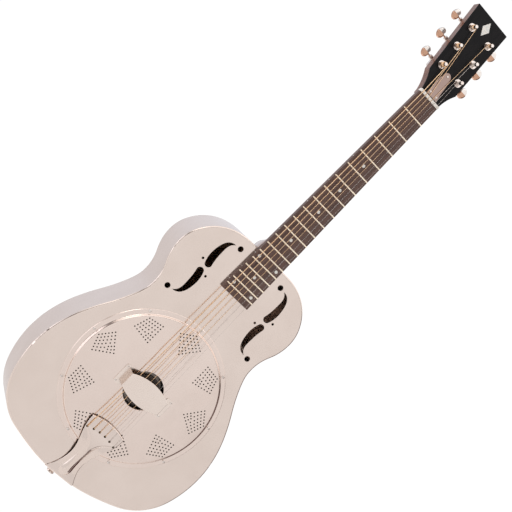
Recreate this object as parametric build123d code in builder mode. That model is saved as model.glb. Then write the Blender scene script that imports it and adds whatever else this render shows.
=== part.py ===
from build123d import *

import os
from math import cos, radians, sin, sqrt

# Single-cone resonator guitar with a plated sheet-metal body.
# Frame: origin on the centre line at the front edge of the nut, level with the top of the
# fretboard. +Z runs up the neck to the headstock, -Y faces the player's audience (the front),
# +X is the treble side. Millimetres.

# ---------------------------------------------------------------- driving dimensions
SCALE = 643.0  # speaking length of the strings
COMPENSATION = 4.0  # extra length at the saddle
CONE_Z = -(SCALE + COMPENSATION)  # axis of the cone, biscuit and coverplate
FRETS = 19
BODY_FRET = 14  # the body starts under this fret
BOARD_THICK = 7.0
BOARD_END_PAST = 12.0  # fretboard beyond the last fret
NUT_W = 43.5
BOARD_END_W = 59.2

BODY_DEPTH = 80.0
SHEET = 1.2  # body sheet metal
RIM = 4.0  # height of the turned rims of the top and back pans
ROLL_R = 2.5  # rolled outer edge of the pans
TOP_Y = BOARD_THICK  # outer face of the body's top
BACK_Y = TOP_Y + BODY_DEPTH
TAIL_OFFSET = -191.5  # tail edge of the body from the cone's axis
# half outline of the body from the tail to the neck: distance from the centre line, distance
# up from the cone's axis, and the outline's heading there in degrees
HALF_OUTLINE = (
    (0, TAIL_OFFSET, 0),
    (40, -190, 6.7),
    (80, -182.5, 13.3),
    (143, -157, 38.4),
    (184.4, -61, 87.6),
    (165, 28.5, 115.6),
    (122.5, 105.7, 114.4),
    (113.6, 137, 92.2),
    (131.4, 212, 89),
    (107.2, 265.6, 136.4),
    (60, 288.3, 171.3),
    (30, 289.9, 179.2),
    (0, 290.4, 180),
)

WELL_R = 124.0  # opening in the body's top
WELL_WALL_R = 125.5  # outer radius of the soundwell
WELL_DEPTH_Y = 33.0
LEDGE_R = 114.0

COVER_R = 135.5
COVER_SHEET = 1.0
COVER_FLANGE_Y = TOP_Y - COVER_SHEET
COVER_PLATEAU_Y = 2.0
COVER_HUB_Y = 1.0
COVER_OPENING_R = 32.5
CLUSTERS = 9  # groups of small holes, and rim screws
CLUSTER_HOLE_R = 1.2
SCREW_CIRCLE_R = 132.0

STRING_D = (0.33, 0.43, 0.66, 0.81, 1.07, 1.42)  # strings 1 (treble) to 6 (bass)
STRINGS = len(STRING_D)
NUT_SPREAD = 34.8  # string 1 to string 6
SADDLE_SPREAD = 52.0
NUT_ACTION_Y = -1.6  # underside of the strings at the nut
SADDLE_ACTION_Y = -7.0  # underside of the strings at the saddle

NUT_LENGTH = 5.0
NUT_TOP_Y = -2.5

HEAD_TILT = 13.0
HEAD_LENGTH = 173.0
HEAD_THICK = 15.5
VENEER = 1.5
HEAD_FACE_Y = 1.0  # headstock face where it starts behind the nut
POST_ROWS = (52.0, 93.5, 135.0)
POST_X = 21.3
WORM_OFFSET = 5.5  # worm axis beyond the post's axis
GEAR_TEETH = 14

TAIL_PLATE = 1.5

# ---------------------------------------------------------------- derived values
LAST_FRET_DROP = SCALE * (1 - 2 ** (-FRETS / 12))
BOARD_END_Z = -(LAST_FRET_DROP + BOARD_END_PAST)
BODY_Z = -SCALE * (1 - 2 ** (-BODY_FRET / 12))
INNER_TAIL_Z = CONE_Z + TAIL_OFFSET + SHEET
HEAD_COS = cos(radians(HEAD_TILT))
HEAD_SIN = sin(radians(HEAD_TILT))
CONE_AXIS = Axis((0, 0, CONE_Z), (0, 1, 0))
HEAD_OUT = Axis((0, 0, 0), (0, -HEAD_COS, HEAD_SIN))  # out of the headstock's face
CONE_SECTION = Plane.XY.offset(CONE_Z)  # radial sections: X is radius, Y is depth


def front_plane(depth, z=0.0):
    """Plane facing the front at a depth, with local x to treble and local y up the neck."""
    return Plane(origin=(0, depth, z), x_dir=(1, 0, 0), z_dir=(0, -1, 0))


def head_plane(height=0.0):
    """Plane parallel to the headstock's face, local y running up the headstock."""
    origin = (0, HEAD_FACE_Y - height * HEAD_COS, NUT_LENGTH + height * HEAD_SIN)
    return Plane(origin=origin, x_dir=(1, 0, 0), z_dir=(0, -HEAD_COS, HEAD_SIN))


def head_point(x, along, height):
    """A point given in headstock coordinates, in the guitar's frame."""
    y = HEAD_FACE_Y + along * HEAD_SIN - height * HEAD_COS
    z = NUT_LENGTH + along * HEAD_COS + height * HEAD_SIN
    return (x, y, z)


def board_width(z):
    """Width of the fretboard at a height along the neck."""
    return NUT_W + (BOARD_END_W - NUT_W) * z / BOARD_END_Z


def fret_z(number):
    """Place of a fret along the neck; fret 0 is the nut."""
    return -SCALE * (1 - 2 ** (-number / 12))


def string_x(index, spread):
    """Sideways place of a string, index 0 being string 1 on the treble side."""
    return spread / 2 - index * spread / (STRINGS - 1)


def save(part, label):
    """Label a finished piece and write its STEP file."""
    part.label = label
    export_step(part, f"parts/{label}.step")


os.makedirs("parts", exist_ok=True)


# ================================================================ body shell
def heading(angle):
    """Unit vector at an angle in degrees from local x."""
    return Vector(cos(radians(angle)), sin(radians(angle)))


def meeting_point(start, start_angle, end, end_angle):
    """Where two arcs meet smoothly between two points with given headings."""
    way = end - start
    leave, arrive = heading(start_angle), heading(end_angle)
    along = way.dot(leave + arrive)
    spread = 2 * (1 - leave.dot(arrive))
    reach = (sqrt(along**2 + spread * way.dot(way)) - along) / spread
    return (start + leave * reach + end - arrive * reach) / 2


def body_face(depth, inset=0.0):
    """The body's outline as a face at a depth, drawn in by an inset."""
    with BuildSketch(front_plane(depth, CONE_Z)) as outline:
        with BuildLine():
            for (*start, start_angle), (*end, end_angle) in zip(HALF_OUTLINE, HALF_OUTLINE[1:]):
                start, end = Vector(*start), Vector(*end)
                middle = meeting_point(start, start_angle, end, end_angle)
                first = TangentArc(start, middle, tangent=heading(start_angle))
                TangentArc(middle, end, tangent=first % 1)
            mirror(about=Plane.YZ)
        make_face()
        if inset:
            offset(amount=-inset, mode=Mode.REPLACE)
    return outline.sketch


# the two sound holes: each is two slots and four round holes, and maps onto itself in a
# half turn about its centre
SOUND_HOLE_AT = (70.6, 209.1)
SOUND_TIP_HOLE = (-22.8, 60.0)
SOUND_SIDE_HOLE = (12.2, 9.2)
SOUND_TIP_R = 4.8
SOUND_SIDE_R = 2.1


def sound_slot():
    """One curved slot of a sound hole about the sound hole's centre, as a face."""
    with BuildSketch() as slot:
        with BuildLine():
            tip = (-13.2, 59.3)
            outer = Spline((4.5, 5.5), (8.5, 22), (7.4, 37), (0.6, 53.5), tip)
            inner = Spline(tip, (-5.2, 50.0), (-4.1, 37), (-5.0, 21), (-7.5, 8))
            ThreePointArc(inner @ 1, (-2.6, 2.6), outer @ 0)
        make_face()
    return slot.sketch


def sound_holes(depth):
    """Both sound holes as faces at a depth."""
    slot = sound_slot()
    with BuildSketch(front_plane(depth, CONE_Z)) as holes:
        for turn in (0, 180):
            with Locations(Location((*SOUND_HOLE_AT, 0), (0, 0, turn))):
                add(slot)
                with Locations(SOUND_TIP_HOLE):
                    Circle(SOUND_TIP_R)
                with Locations(SOUND_SIDE_HOLE):
                    Circle(SOUND_SIDE_R)
        mirror(about=Plane.YZ)
    return holes.sketch


def rim_screw_spot(number):
    """Place of one of the coverplate's rim screws about the cone's axis."""
    turn = radians(90 + number * 360 / CLUSTERS)
    return (SCREW_CIRCLE_R * cos(turn), SCREW_CIRCLE_R * sin(turn))


RIM_SCREWS = [rim_screw_spot(number) for number in range(CLUSTERS)]
SCREW_HOLE_R = 1.6
NECK_BOLTS = ((-10.0, 24.0), (10.0, 24.0))
NECK_BOLT_R = 3.0
PIN_Y = TOP_Y + BODY_DEPTH / 2  # strap button at mid depth
PIN_SCREW_R = 2.2

with BuildPart() as body_top:
    extrude(body_face(TOP_Y + RIM), amount=RIM)
    fillet(body_top.faces().sort_by(Axis.Y)[0].edges(), ROLL_R)
    offset(amount=-SHEET, openings=body_top.faces().sort_by(Axis.Y)[-1])
    with BuildSketch(front_plane(TOP_Y + SHEET, CONE_Z)):
        Circle(WELL_R)
        with Locations(*RIM_SCREWS):
            Circle(SCREW_HOLE_R)
    extrude(amount=SHEET, mode=Mode.SUBTRACT)
    extrude(sound_holes(TOP_Y + SHEET), amount=SHEET, mode=Mode.SUBTRACT)
save(body_top.part, "body_top")

with BuildPart() as body_back:
    extrude(body_face(BACK_Y), amount=RIM)
    fillet(body_back.faces().sort_by(Axis.Y)[-1].edges(), ROLL_R)
    offset(amount=-SHEET, openings=body_back.faces().sort_by(Axis.Y)[0])
save(body_back.part, "body_back")

with BuildPart() as body_sides:
    extrude(body_face(BACK_Y - RIM), amount=BODY_DEPTH - 2 * RIM)
    extrude(body_face(BACK_Y - RIM, SHEET), amount=BODY_DEPTH - 2 * RIM, mode=Mode.SUBTRACT)
    with BuildSketch(Plane.XY.offset(BODY_Z - 3 * SHEET)):
        with Locations(*NECK_BOLTS):
            Circle(NECK_BOLT_R)
    extrude(amount=6 * SHEET, mode=Mode.SUBTRACT)
    with BuildSketch(Plane.XY.offset(INNER_TAIL_Z - 3 * SHEET)):
        with Locations((0, PIN_Y)):
            Circle(PIN_SCREW_R)
    extrude(amount=6 * SHEET, mode=Mode.SUBTRACT)
save(body_sides.part, "body_sides")

# ================================================================ resonator
with BuildPart() as soundwell:
    with BuildSketch(CONE_SECTION):
        with BuildLine():
            wall = WELL_WALL_R - COVER_SHEET
            Polyline(
                (WELL_WALL_R, TOP_Y + SHEET),
                (WELL_WALL_R, WELL_DEPTH_Y),
                (LEDGE_R, WELL_DEPTH_Y),
                (LEDGE_R, WELL_DEPTH_Y - COVER_SHEET),
                (wall, WELL_DEPTH_Y - COVER_SHEET),
                (wall, TOP_Y + SHEET),
                close=True,
            )
        make_face()
    revolve(axis=CONE_AXIS)
save(soundwell.part, "soundwell")

CONE_R = 122.0
CONE_SHEET = 0.8
CONE_RIM_Y = WELL_DEPTH_Y - COVER_SHEET - CONE_SHEET
CONE_APEX_Y = 9.5
CONE_APEX_R = 25.0
CONE_SCREW_R = 1.5

with BuildPart() as resonator_cone:
    with BuildSketch(CONE_SECTION):
        with BuildLine():
            front = Spline(
                (CONE_APEX_R, CONE_APEX_Y),
                (45, CONE_APEX_Y + 4.0),
                (80, CONE_APEX_Y + 12.6),
                (110, CONE_RIM_Y),
                tangents=((1, 0.1), (1, 0.25)),
            )
            Polyline(
                front @ 1,
                (CONE_R, CONE_RIM_Y),
                (CONE_R, CONE_RIM_Y + CONE_SHEET),
                (110, CONE_RIM_Y + CONE_SHEET),
            )
            back = Spline(
                (110, CONE_RIM_Y + CONE_SHEET),
                (80, CONE_APEX_Y + 12.6 + CONE_SHEET),
                (45, CONE_APEX_Y + 4.0 + CONE_SHEET),
                (CONE_APEX_R, CONE_APEX_Y + CONE_SHEET),
                tangents=((-1, -0.25), (-1, -0.1)),
            )
            Polyline(
                back @ 1,
                (CONE_SCREW_R, CONE_APEX_Y + CONE_SHEET),
                (CONE_SCREW_R, CONE_APEX_Y),
                front @ 0,
            )
        make_face()
    revolve(axis=CONE_AXIS)
save(resonator_cone.part, "resonator_cone")

BISCUIT_R = 27.0
BISCUIT_FRONT_Y = 2.5
SADDLE_THICK = 3.0
SADDLE_SLOT = 4.0
SADDLE_LENGTH = 54.0
SADDLE_TOP_Y = SADDLE_ACTION_Y - 0.3
BISCUIT_SCREW_LENGTH = 3.5

with BuildPart() as biscuit:
    with BuildSketch(front_plane(CONE_APEX_Y, CONE_Z)):
        Circle(BISCUIT_R)
    extrude(amount=CONE_APEX_Y - BISCUIT_FRONT_Y)
    fillet(biscuit.faces().sort_by(Axis.Y)[0].edges(), 1.2)
    with BuildSketch(front_plane(BISCUIT_FRONT_Y + SADDLE_SLOT, CONE_Z)):
        Rectangle(2 * BISCUIT_R + 2, SADDLE_THICK)
    extrude(amount=SADDLE_SLOT, mode=Mode.SUBTRACT)
    with BuildSketch(front_plane(CONE_APEX_Y, CONE_Z)):
        Circle(CONE_SCREW_R)
    extrude(amount=CONE_APEX_Y - BISCUIT_FRONT_Y - SADDLE_SLOT, mode=Mode.SUBTRACT)
save(biscuit.part, "biscuit")

with BuildPart() as biscuit_screw:
    with BuildSketch(front_plane(CONE_APEX_Y + CONE_SHEET, CONE_Z)):
        Circle(CONE_SCREW_R - 0.05)
    extrude(amount=BISCUIT_SCREW_LENGTH)
    with BuildSketch(front_plane(CONE_APEX_Y + CONE_SHEET, CONE_Z)):
        Circle(3.2)
    extrude(amount=-2.0)
    fillet(biscuit_screw.faces().sort_by(Axis.Y)[-1].edges(), 0.8)
save(biscuit_screw.part, "biscuit_screw")

with BuildPart() as saddle:
    with BuildSketch(front_plane(BISCUIT_FRONT_Y + SADDLE_SLOT, CONE_Z)):
        Rectangle(SADDLE_LENGTH, SADDLE_THICK)
    extrude(amount=BISCUIT_FRONT_Y + SADDLE_SLOT - SADDLE_TOP_Y)
    top_corners = saddle.edges().filter_by(Axis.Z).group_by(Axis.Y)[0]
    fillet(top_corners, 2.0)
    # string notches, their floors a hair under the strings
    for index, diameter in enumerate(STRING_D):
        with BuildSketch(front_plane(SADDLE_ACTION_Y + 0.12, CONE_Z)):
            with Locations((string_x(index, SADDLE_SPREAD), 0)):
                Rectangle(diameter + 0.3, SADDLE_THICK + 1)
        extrude(amount=2.0, mode=Mode.SUBTRACT)
save(saddle.part, "saddle")

# ================================================================ coverplate
KITE_SIDE = (22.5, 107.5)  # side corner of a hole cluster
KITE_INNER = 81.0
KITE_OUTER = 121.0
KITE_STEPS = (5, 4, 3, 2, 2, 1, 0)  # gaps between holes on each leg of the chevrons


def cluster_holes():
    """Hole centres of the cluster that points up the neck, row by row inwards."""
    spots = []
    rows = len(KITE_STEPS) - 1
    for row, gaps in enumerate(KITE_STEPS):
        t = row / rows
        side_x = KITE_SIDE[0] * (1 - t)
        side_y = KITE_SIDE[1] + (KITE_INNER - KITE_SIDE[1]) * t
        apex_y = KITE_OUTER + (KITE_INNER - KITE_OUTER) * t * (0.87 + 0.13 * t)
        spots.append((0, apex_y))
        for gap in range(1, gaps + 1):
            x = side_x * gap / gaps
            y = apex_y + (side_y - apex_y) * gap / gaps
            spots += [(x, y), (-x, y)]
    return spots


FLANGE_IN_R = 128.5
STEP_R = 123.5
PERF_IN_R = 77.0
HUB_R = 54.0
REST_SCREW_AT = ((48, 14.5), (48, -14.5), (-48, 14.5), (-48, -14.5))
REST_SCREW_R = 1.1

with BuildPart() as coverplate:
    with BuildSketch(front_plane(COVER_PLATEAU_Y + COVER_SHEET, CONE_Z)):
        Circle(STEP_R)
        Circle(PERF_IN_R, mode=Mode.SUBTRACT)
        with PolarLocations(0, CLUSTERS):
            with Locations(*cluster_holes()):
                Circle(CLUSTER_HOLE_R, mode=Mode.SUBTRACT)
    extrude(amount=COVER_SHEET)
    # the step and the rim flange
    with BuildSketch(CONE_SECTION):
        with BuildLine():
            step_front = Spline(
                (STEP_R, COVER_PLATEAU_Y),
                (FLANGE_IN_R, COVER_FLANGE_Y),
                tangents=((1, 0), (1, 0)),
            )
            Polyline(
                step_front @ 1,
                (COVER_R - 0.5, COVER_FLANGE_Y),
                (COVER_R, COVER_FLANGE_Y + 0.5),
                (COVER_R, TOP_Y),
                (FLANGE_IN_R - 0.3, TOP_Y),
            )
            step_back = Spline(
                (FLANGE_IN_R - 0.3, TOP_Y),
                (STEP_R, COVER_PLATEAU_Y + COVER_SHEET),
                tangents=((-1, 0), (-1, 0)),
            )
            Line(step_back @ 1, step_front @ 0)
        make_face()
    revolve(axis=CONE_AXIS)
    # the low dome, the hub and the lip round the opening
    with BuildSketch(CONE_SECTION):
        with BuildLine():
            dome_front = Spline(
                (PERF_IN_R, COVER_PLATEAU_Y),
                (HUB_R, COVER_HUB_Y),
                tangents=((-1, 0), (-1, 0)),
            )
            Polyline(
                dome_front @ 1,
                (COVER_OPENING_R + 0.6, COVER_HUB_Y),
                (COVER_OPENING_R, COVER_HUB_Y + 0.6),
                (COVER_OPENING_R, COVER_HUB_Y + 2.2),
                (COVER_OPENING_R + 0.8, COVER_HUB_Y + 2.2),
                (COVER_OPENING_R + COVER_SHEET, COVER_HUB_Y + COVER_SHEET),
                (HUB_R, COVER_HUB_Y + COVER_SHEET),
            )
            dome_back = Spline(
                (HUB_R, COVER_HUB_Y + COVER_SHEET),
                (PERF_IN_R, COVER_PLATEAU_Y + COVER_SHEET),
                tangents=((1, 0), (1, 0)),
            )
            Line(dome_back @ 1, dome_front @ 0)
        make_face()
    revolve(axis=CONE_AXIS)
    with BuildSketch(front_plane(TOP_Y, CONE_Z)):
        with Locations(*RIM_SCREWS):
            Circle(SCREW_HOLE_R)
    extrude(amount=COVER_SHEET, mode=Mode.SUBTRACT)
    with BuildSketch(front_plane(COVER_HUB_Y + COVER_SHEET, CONE_Z)):
        with Locations(*REST_SCREW_AT):
            Circle(REST_SCREW_R)
    extrude(amount=COVER_SHEET, mode=Mode.SUBTRACT)
save(coverplate.part, "coverplate")


RECESS_WIDTH = 0.24  # of a screw's cross recess, against the head's radius
RECESS_DEPTH = 0.5  # against the head's height


def dome_screws(seat, spots, head_r, head_h, shank_r, length):
    """Dome-head screws with cross recesses, their heads standing on the seat plane."""
    outwards = Axis(seat.origin, seat.z_dir)
    with BuildPart() as screws:
        with BuildSketch(seat):
            with Locations(*spots):
                Circle(head_r)
        extrude(amount=head_h)
        fillet(screws.faces().group_by(outwards)[-1].edges(), 0.8 * head_h)
        with BuildSketch(seat):
            with Locations(*spots):
                Circle(shank_r)
        extrude(amount=-length)
        with BuildSketch(seat.offset(head_h)):
            for turn in (0, 90):
                with Locations(*spots):
                    Rectangle(head_r, RECESS_WIDTH * head_r, rotation=turn)
        extrude(amount=-RECESS_DEPTH * head_h, mode=Mode.SUBTRACT)
    return screws.part


cover_seat = front_plane(COVER_FLANGE_Y, CONE_Z)
save(dome_screws(cover_seat, RIM_SCREWS, 2.7, 1.4, SCREW_HOLE_R - 0.1, 6.0), "coverplate_screws")

# ================================================================ handrest
REST_TOP_Y = -15.0
REST_SHEET = 1.2
REST_HALF_W = 39.4
REST_END_HALF = 12.5  # half depth of the handrest at its two ends
REST_BULGE = 9.0
REST_FOOT_W = 13.0
REST_FOOT_HALF = 18.0
REST_WALL_TOP_Y = REST_TOP_Y + REST_SHEET

with BuildPart() as handrest:
    with BuildSketch(front_plane(REST_WALL_TOP_Y, CONE_Z)):
        with BuildLine():
            right = Line((REST_HALF_W, -REST_END_HALF), (REST_HALF_W, REST_END_HALF))
            left = Line((-REST_HALF_W, REST_END_HALF), (-REST_HALF_W, -REST_END_HALF))
            ThreePointArc(right @ 1, (0, REST_END_HALF + REST_BULGE), left @ 0)
            ThreePointArc(left @ 1, (0, -REST_END_HALF - REST_BULGE), right @ 0)
        make_face()
    extrude(amount=REST_SHEET)
    for side in (-1, 1):
        with BuildSketch(front_plane(COVER_HUB_Y, CONE_Z)):
            with Locations((side * (REST_HALF_W - REST_SHEET / 2), 0)):
                Rectangle(REST_SHEET, 2 * REST_END_HALF)
        extrude(amount=COVER_HUB_Y - REST_TOP_Y - REST_SHEET / 2)
        with BuildSketch(front_plane(COVER_HUB_Y, CONE_Z)):
            with Locations((side * (REST_HALF_W - REST_SHEET + REST_FOOT_W / 2), 0)):
                RectangleRounded(REST_FOOT_W, 2 * REST_FOOT_HALF, 3.0)
        extrude(amount=REST_SHEET)
    fillet(handrest.faces().sort_by(Axis.Y)[0].edges(), 0.55)
    with BuildSketch(front_plane(COVER_HUB_Y, CONE_Z)):
        with Locations(*REST_SCREW_AT):
            Circle(REST_SCREW_R)
    extrude(amount=REST_SHEET, mode=Mode.SUBTRACT)
save(handrest.part, "handrest")

rest_seat = front_plane(COVER_HUB_Y - REST_SHEET, CONE_Z)
save(dome_screws(rest_seat, REST_SCREW_AT, 1.9, 0.9, REST_SCREW_R - 0.05, 5.0), "handrest_screws")

# ================================================================ tailpiece
TAIL_HOLE_R = 1.7
TAIL_SPREAD = 57.6
TAIL_PLATE_Y = -4.5  # front face of the plate where the strings are anchored
TAIL_GAP = 0.5  # between the body's tail and the flap over it
TAIL_EDGE_Z = CONE_Z + TAIL_OFFSET - TAIL_GAP - TAIL_PLATE  # outer face of that flap
TAIL_FLAP_END_Y = TOP_Y + 52.0
SKIRT_DEPTH = 5.0
RIB_HEIGHT = 4.5
RIB_LENGTH = 62.0
RIB_WIDTH = 19.0
RIB_SLOPE = 7.0  # how much narrower the rib is at its top
RIB_FROM_FOLD = 34.0
TAIL_HALF = ((34, -79), (32.4, -97), (23.5, -121), (16.2, -146), (16.6, -163), (29, -189))


def tail_hole(index):
    """Place of a string's hole in the tailpiece, about the cone's axis."""
    x = string_x(index, TAIL_SPREAD)
    return (x, -93.5 - 4.8 * (2 * x / TAIL_SPREAD) ** 2)


with BuildPart() as tailpiece:
    # side profile: level over the coverplate, down to the body, then over the tail
    with BuildSketch(Plane.YZ):
        with BuildLine():
            half = TAIL_PLATE / 2
            FilletPolyline(
                (TAIL_PLATE_Y + half, CONE_Z - 70),
                (TAIL_PLATE_Y + half, CONE_Z - 113),
                (TOP_Y - half, CONE_Z - 181),
                (TOP_Y - half, TAIL_EDGE_Z + half),
                (TAIL_FLAP_END_Y, TAIL_EDGE_Z + half),
                radius=[14, 14, 3.5],
            )
        trace(line_width=TAIL_PLATE)
    extrude(amount=40, both=True)
    # the turned-down skirt along the nose, cut to shape with the rest of the plate
    with BuildSketch(front_plane(TAIL_PLATE_Y + SKIRT_DEPTH, CONE_Z)):
        with BuildLine():
            inside = ThreePointArc((-33.2, -80.8), (0, -73 - TAIL_PLATE), (33.2, -80.8))
            Polyline(inside @ 1, (40, -80.8), (40, -60), (-40, -60), (-40, -80.8), inside @ 0)
        make_face()
    extrude(amount=SKIRT_DEPTH - TAIL_PLATE / 2)
    # plan outline
    with BuildSketch(front_plane(TAIL_FLAP_END_Y + 5, CONE_Z)):
        with BuildLine():
            flare = Spline(*TAIL_HALF)
            Polyline(flare @ 1, (29, -196), (-29, -196), (-29, -189))
            flare_left = Spline(*[(-x, z) for x, z in reversed(TAIL_HALF)])
            ThreePointArc(flare_left @ 1, (0, -73), flare @ 0)
        make_face()
    extrude(amount=TAIL_FLAP_END_Y + 25, mode=Mode.INTERSECT)
    # raised rib down the middle of the slope
    slope_start = Vector(0, TAIL_PLATE_Y, CONE_Z - 113)
    slope_end = Vector(0, TOP_Y - TAIL_PLATE, CONE_Z - 181)
    rise = (slope_start - slope_end).normalized()
    rib_plane = Plane(
        origin=slope_end + rise * RIB_FROM_FOLD,
        x_dir=(1, 0, 0),
        z_dir=rise.cross(Vector(1, 0, 0)) * -1,
    )
    with BuildSketch(rib_plane.offset(-TAIL_PLATE / 2)):
        SlotOverall(RIB_LENGTH, RIB_WIDTH, rotation=90)
    with BuildSketch(rib_plane.offset(RIB_HEIGHT)):
        SlotOverall(RIB_LENGTH - RIB_SLOPE, RIB_WIDTH - RIB_SLOPE, rotation=90)
    loft()
    with BuildSketch(front_plane(TAIL_PLATE_Y + TAIL_PLATE, CONE_Z)):
        with Locations(*[tail_hole(i) for i in range(STRINGS)]):
            Circle(TAIL_HOLE_R)
    extrude(amount=TAIL_PLATE, mode=Mode.SUBTRACT)
    with BuildSketch(Plane.XY.offset(TAIL_EDGE_Z)):
        with Locations((0, PIN_Y)):
            Circle(PIN_SCREW_R)
    extrude(amount=TAIL_PLATE, mode=Mode.SUBTRACT)
save(tailpiece.part, "tailpiece")

PIN_SCREW_LENGTH = 28.0
PIN_LENGTH = 13.0

with BuildPart(Plane.XY.offset(TAIL_EDGE_Z)) as strap_button:
    with BuildSketch(Plane(origin=(0, PIN_Y, TAIL_EDGE_Z), x_dir=(1, 0, 0), z_dir=(0, -1, 0))):
        with BuildLine():
            neck_arc = ThreePointArc((6.2, -1.2), (3.9, -5.2), (6.6, -9.6))
            Polyline(
                neck_arc @ 1,
                (7.0, -11.2),
                (6.0, -PIN_LENGTH + 0.3),
                (4.0, -PIN_LENGTH),
                (4.0, -PIN_LENGTH + 2.4),
                (PIN_SCREW_R, -PIN_LENGTH + 2.4),
                (PIN_SCREW_R, 0),
                (6.6, 0),
                neck_arc @ 0,
            )
        make_face()
    revolve(axis=Axis((0, PIN_Y, 0), (0, 0, 1)))
save(strap_button.part, "strap_button")

with BuildPart() as strap_button_screw:
    with BuildSketch(Plane.XY.offset(TAIL_EDGE_Z - PIN_LENGTH + 2.4)):
        with Locations((0, PIN_Y)):
            Circle(PIN_SCREW_R - 0.1)
    extrude(amount=PIN_SCREW_LENGTH)
    with BuildSketch(Plane.XY.offset(TAIL_EDGE_Z - PIN_LENGTH + 2.4)):
        with Locations((0, PIN_Y)):
            Circle(3.8)
    extrude(amount=-2.0)
    with BuildSketch(Plane.XY.offset(TAIL_EDGE_Z - PIN_LENGTH + 0.4)):
        for turn in (0, 90):
            with Locations((0, PIN_Y)):
                Rectangle(4.4, 0.9, rotation=turn)
    extrude(amount=1.1, mode=Mode.SUBTRACT)
save(strap_button_screw.part, "strap_button_screw")

# ================================================================ neck
SHAFT_SECTIONS = ((BODY_Z, 18.0), (-330, 17.2), (0, 14.3))  # height, depth behind the board
# depth, half width and reach up the neck of the heel's sections
HEEL_SECTIONS = ((9, 27.6, 48), (24, 26.0, 33), (42, 20.5, 25), (62, 15.0, 19))
ROD_Y = 10.6
ROD_R = 2.5
ROD_SLOT_W = 6.0
ROD_LOW_Z = -340.0
POCKET_Z = 27.0
POCKET_Y = ROD_Y + 4.8
POCKET_W = 11.0
POST_HOLE_R = 4.1
HEAD_HALF_W = (21.5, 33.2, 37.3)  # behind the nut, at the shoulder, at the top
HEAD_SHOULDER = 34.0
EAR_IN = 5.0  # tuner screw's place, inwards and down from the post
EAR_DOWN = 10.5
EAR_SCREW_R = 1.1


def half_ellipse(width, depth):
    """The back of the neck in section: a half ellipse behind the fretboard, in local XY."""
    with BuildSketch() as section:
        with BuildLine():
            bow = EllipticalCenterArc((0, 0), width / 2, depth, 0, arc_size=180)
            Line(bow @ 1, bow @ 0)
        make_face()
    return section.sketch


def head_face(height):
    """The headstock's outline as a face at a height over its front."""
    with BuildSketch(head_plane(height)) as outline:
        base, shoulder, top = HEAD_HALF_W
        with BuildLine():
            flank = ThreePointArc((base, 0), (base + 4.2, 18), (shoulder, HEAD_SHOULDER))
            Polyline(flank @ 1, (top, HEAD_LENGTH), (-top, HEAD_LENGTH), (-shoulder, HEAD_SHOULDER))
            ThreePointArc((-shoulder, HEAD_SHOULDER), (-base - 4.2, 18), (-base, 0))
            Polyline((-base, 0), (-base, -8), (base, -8), (base, 0))
        make_face()
    return outline.sketch


def post_spots():
    """Places of the six posts on the headstock, string 1 first."""
    treble = [(POST_X, row) for row in POST_ROWS]
    bass = [(-POST_X, row) for row in reversed(POST_ROWS)]
    return treble + bass


def ear_spots():
    """Places of the screws that hold the tuner housings."""
    return [(x * (1 - EAR_IN / POST_X), row - EAR_DOWN) for x, row in post_spots()]


with BuildPart() as neck_blank:
    for (z_low, depth_low), (z_high, depth_high) in zip(SHAFT_SECTIONS, SHAFT_SECTIONS[1:]):
        with BuildSketch(Plane.XY.offset(z_low)):
            with Locations((0, BOARD_THICK)):
                add(half_ellipse(board_width(z_low), depth_low))
        with BuildSketch(Plane.XY.offset(z_high)):
            with Locations((0, BOARD_THICK)):
                add(half_ellipse(board_width(z_high), depth_high))
        loft()
    # the volute runs the shaft out under the headstock
    with BuildSketch(Plane.XY):
        with Locations((0, BOARD_THICK)):
            add(half_ellipse(NUT_W, 14.3))
    with BuildSketch(Plane.XY.offset(26)):
        with Locations((0, BOARD_THICK + 4)):
            add(half_ellipse(NUT_W, 10.5))
    loft()
    # headstock
    extrude(head_face(-HEAD_THICK), amount=HEAD_THICK - VENEER)
    # heel
    for depth, half_width, reach in HEEL_SECTIONS:
        with BuildSketch(front_plane(depth, BODY_Z)):
            with BuildLine():
                bow = EllipticalCenterArc((0, 0), half_width, reach, 0, arc_size=180)
                Line(bow @ 1, bow @ 0)
            make_face()
    loft()
    # seat of the nut and the end of the fretboard
    with BuildSketch(Plane.XY.offset(-12)):
        with Locations((0, BOARD_THICK - 10)):
            Rectangle(60, 20)
    extrude(amount=12 + NUT_LENGTH, mode=Mode.SUBTRACT)

with BuildPart() as neck:
    add(neck_blank.part)
    # channel of the truss rod and the pocket that opens it to the headstock
    with BuildSketch(Plane.XY.offset(ROD_LOW_Z)):
        with Locations((0, (ROD_Y + ROD_R + BOARD_THICK) / 2)):
            Rectangle(ROD_SLOT_W, ROD_Y + ROD_R - BOARD_THICK)
    extrude(amount=POCKET_Z - ROD_LOW_Z - 12, mode=Mode.SUBTRACT)
    with BuildSketch(front_plane(POCKET_Y)):
        with Locations((0, (NUT_LENGTH + POCKET_Z) / 2 + 1)):
            SlotOverall(POCKET_Z - NUT_LENGTH - 2, POCKET_W, rotation=90)
    extrude(amount=20, mode=Mode.SUBTRACT)
    with BuildSketch(head_plane(-HEAD_THICK)):
        with Locations(*post_spots()):
            Circle(POST_HOLE_R)
    extrude(amount=HEAD_THICK, mode=Mode.SUBTRACT)
    with BuildSketch(head_plane(-HEAD_THICK)):
        with Locations(*ear_spots()):
            Circle(EAR_SCREW_R)
    extrude(amount=8, mode=Mode.SUBTRACT)
    with BuildSketch(Plane.XY.offset(BODY_Z)):
        with Locations(*NECK_BOLTS):
            Circle(NECK_BOLT_R)
    extrude(amount=16, mode=Mode.SUBTRACT)
save(neck.part, "neck")

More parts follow.
